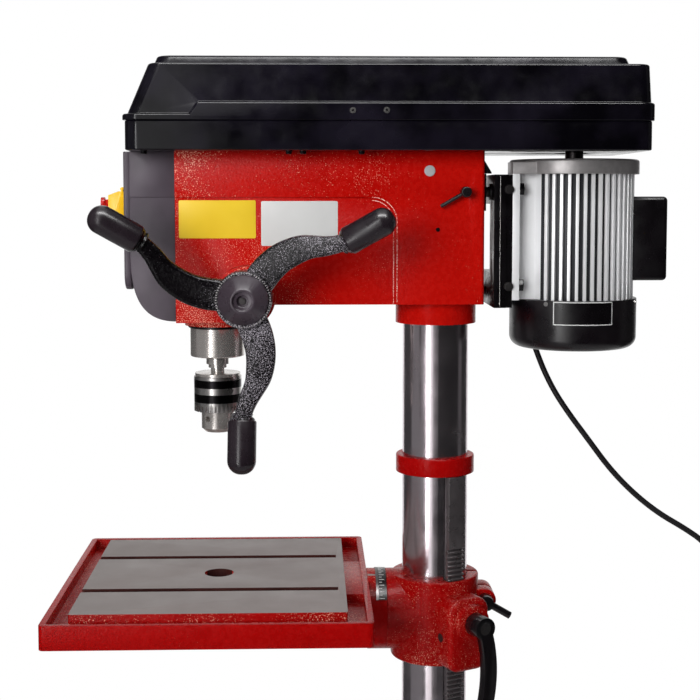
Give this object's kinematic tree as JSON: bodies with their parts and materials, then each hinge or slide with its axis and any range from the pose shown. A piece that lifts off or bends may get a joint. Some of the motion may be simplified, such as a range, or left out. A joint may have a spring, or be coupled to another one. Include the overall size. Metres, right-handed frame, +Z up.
{
  "type": "floor drill press",
  "caption": "Floor-standing drill press: belt-driven spindle with a keyed chuck, three-arm feed handle, finned motor, tilting table with crank lift on a steel column.",
  "frame": {"origin": "on the floor, on the axis of the column", "axes": "+Z up, -Y to the front (operator), +X to the operator's right, where the feed handle is"},
  "size_m": [0.424, 0.963, 1.647],
  "materials": {
    "red_paint": "crackle enamel, satin gloss",
    "black_paint": "satin black enamel",
    "dark_steel": "oiled dark steel",
    "ground_steel": "ground steel",
    "bright_steel": "polished steel",
    "cast_aluminium": "bare die casting",
    "black_plastic": "fine texture",
    "gloss_black": "glossy moulding",
    "yellow_plastic": "glossy moulding",
    "red_plastic": "glossy moulding",
    "green_plastic": "glossy moulding",
    "belt_rubber": "matte rubber",
    "spring_steel": "blued spring steel"
  },
  "bodies": {
    "frame": {"base": "red_paint", "column_flange": "red_paint", "flange_bolts": "dark_steel", "column": "ground_steel", "head_casting": "red_paint", "front_cover": "black_plastic", "switch_plate": "black_plastic", "switch_body": "black_plastic", "belt_tray": "black_paint", "lid_hinge_pins": "bright_steel", "idler_shaft": "bright_steel", "pulley_bearings": "bright_steel", "spring_housing": "black_plastic", "return_spring": "spring_steel", "spindle_belt": "belt_rubber", "motor_belt": "belt_rubber", "rack_ring": "red_paint", "cord_gland": "black_plastic", "power_cord": "belt_rubber", "power_plug": "black_plastic"},
    "lid": {"belt_lid": "black_paint"},
    "quill_group": {"quill": "ground_steel", "quill_bearings": "bright_steel"},
    "spindle_group": {"spindle": "bright_steel", "chuck_arbor": "bright_steel", "chuck_body": "dark_steel"},
    "sleeve": {"chuck_sleeve": "dark_steel"},
    "jaw_1": {"chuck_jaw_1": "bright_steel"},
    "jaw_2": {"chuck_jaw_2": "bright_steel"},
    "jaw_3": {"chuck_jaw_3": "bright_steel"},
    "feed_handle": {"feed_shaft": "bright_steel", "feed_spider": "black_paint", "feed_grips": "gloss_black", "hub_cap": "black_plastic"},
    "drive_pulley": {"spindle_pulley": "cast_aluminium"},
    "idler": {"idler_pulley": "cast_aluminium"},
    "carriage": {"slide_bars": "dark_steel", "motor_plate": "black_paint", "motor_housing": "cast_aluminium", "motor_bolts": "bright_steel", "motor_stator": "dark_steel", "motor_top_shield": "cast_aluminium", "motor_bottom_cover": "black_plastic", "capacitor_box": "black_plastic"},
    "rotor": {"motor_rotor": "dark_steel", "motor_pulley": "cast_aluminium"},
    "flap": {"switch_flap": "yellow_plastic"},
    "stop_knob": {"emergency_button": "red_plastic"},
    "start_key": {"start_button": "green_plastic"},
    "stop_key": {"stop_button": "red_plastic"},
    "belt_lock": {"belt_lock_lever": "dark_steel"},
    "rack_group": {"rack": "dark_steel"},
    "bracket": {"table_bracket": "red_paint", "tilt_bolt": "bright_steel"},
    "table_top": {"table": "red_paint"},
    "crank": {"crank_shaft": "bright_steel", "crank_arm": "black_paint"},
    "crank_handle": {"crank_grip": "gloss_black"},
    "pinion": {"lift_pinion": "dark_steel"},
    "table_lock": {"table_lock_lever": "dark_steel"}
  },
  "joints": [
    {"name": "lid_hinge", "type": "hinge", "parent": "frame", "child": "lid", "pos_m": [-0.132, 0, 1.562], "axis": [0, -1, 0], "range_deg": [0, 95]},
    {"name": "feed_turn", "type": "hinge", "parent": "frame", "child": "feed_handle", "pos_m": [0, -0.2565, 1.336], "axis": [1, 0, 0], "range_deg": [0, 381.97], "stiffness_Nm_per_rad": 0.3, "springref_deg": -515.66},
    {"name": "quill_slide", "type": "slide", "parent": "frame", "child": "quill_group", "axis": [0, 0, -1], "range_m": [0, 0.1201]},
    {"name": "spindle_spin", "type": "hinge", "parent": "quill_group", "child": "spindle_group", "pos_m": [0, -0.3, 1.3], "axis": [0, 0, 1], "continuous": true},
    {"name": "drive_pulley_spin", "type": "hinge", "parent": "frame", "child": "drive_pulley", "pos_m": [0, -0.3, 1.57], "axis": [0, 0, 1], "continuous": true},
    {"name": "idler_spin", "type": "hinge", "parent": "frame", "child": "idler", "pos_m": [0, -0.03, 1.57], "axis": [0, 0, 1], "continuous": true},
    {"name": "rotor_spin", "type": "hinge", "parent": "carriage", "child": "rotor", "pos_m": [0, 0.1895, 1.57], "axis": [0, 0, 1], "continuous": true},
    {"name": "sleeve_turn", "type": "hinge", "parent": "spindle_group", "child": "sleeve", "pos_m": [0, -0.3, 1.19], "axis": [0, 0, 1], "range_deg": [0, 720]},
    {"name": "jaw_1_slide", "type": "slide", "parent": "spindle_group", "child": "jaw_1", "axis": [-0.2193, -0.1022, -0.9703], "range_m": [0, 0.0201]},
    {"name": "jaw_2_slide", "type": "slide", "parent": "spindle_group", "child": "jaw_2", "axis": [0.1982, -0.1388, -0.9703], "range_m": [0, 0.0201]},
    {"name": "jaw_3_slide", "type": "slide", "parent": "spindle_group", "child": "jaw_3", "axis": [0.0211, 0.241, -0.9703], "range_m": [0, 0.0201]},
    {"name": "belt_tension", "type": "slide", "parent": "frame", "child": "carriage", "axis": [0, -1, 0], "range_m": [0, 0.01], "deforming": ["motor_belt"]},
    {"name": "belt_lock_turn", "type": "hinge", "parent": "frame", "child": "belt_lock", "pos_m": [0.07, 0.0315, 1.471], "axis": [1, 0, 0], "range_deg": [-45, 45]},
    {"name": "flap_hinge", "type": "hinge", "parent": "frame", "child": "flap", "pos_m": [0, -0.4245, 1.475], "axis": [-1, 0, 0], "range_deg": [0, 110]},
    {"name": "stop_knob_slide", "type": "slide", "parent": "flap", "child": "stop_knob", "axis": [0, 0, 1], "range_m": [0, 0.003]},
    {"name": "start_push", "type": "slide", "parent": "frame", "child": "start_key", "axis": [0, 1, 0], "range_m": [0, 0.003], "stiffness_N_per_m": 400},
    {"name": "stop_push", "type": "slide", "parent": "frame", "child": "stop_key", "axis": [0, 1, 0], "range_m": [0, 0.003], "stiffness_N_per_m": 400},
    {"name": "table_swivel", "type": "hinge", "parent": "frame", "child": "rack_group", "pos_m": [0, 0, 0.9], "axis": [0, 0, 1], "range_deg": [-120, 120]},
    {"name": "table_lift", "type": "slide", "parent": "rack_group", "child": "bracket", "axis": [0, 0, 1], "range_m": [-0.55, 0.02]},
    {"name": "crank_turn", "type": "hinge", "parent": "bracket", "child": "crank", "pos_m": [0.0891, 0.0454, 0.896], "axis": [0.891, 0.454, 0], "continuous": true},
    {"name": "crank_grip_turn", "type": "hinge", "parent": "crank", "child": "crank_handle", "pos_m": [0.14256, 0.07264, 0.778], "axis": [0.891, 0.454, 0], "continuous": true},
    {"name": "lift_pinion_turn", "type": "hinge", "parent": "bracket", "child": "pinion", "pos_m": [0.05925, 0.03019, 0.8721], "axis": [-0.454, 0.891, 0], "continuous": true},
    {"name": "table_tilt", "type": "hinge", "parent": "bracket", "child": "table_top", "pos_m": [0, -0.068, 0.891], "axis": [0, 1, 0], "range_deg": [-45, 45]},
    {"name": "table_lock_turn", "type": "hinge", "parent": "bracket", "child": "table_lock", "pos_m": [0, 0.0685, 0.908], "axis": [1, 0, 0], "range_deg": [-50, 50]}
  ],
  "couplings": [
    {"joint": "quill_slide", "follows": "feed_turn", "m_per_rad": 0.018},
    {"joint": "idler_spin", "follows": "rotor_spin", "ratio": 0.66942},
    {"joint": "drive_pulley_spin", "follows": "rotor_spin", "ratio": 0.33679},
    {"joint": "spindle_spin", "follows": "rotor_spin", "ratio": 0.33679},
    {"joint": "crank_turn", "follows": "table_lift", "rad_per_m": 500},
    {"joint": "lift_pinion_turn", "follows": "table_lift", "rad_per_m": -83.333},
    {"joint": "jaw_1_slide", "follows": "sleeve_turn", "m_per_rad": 0.0015915},
    {"joint": "jaw_2_slide", "follows": "sleeve_turn", "m_per_rad": 0.0015915},
    {"joint": "jaw_3_slide", "follows": "sleeve_turn", "m_per_rad": 0.0015915}
  ]
}
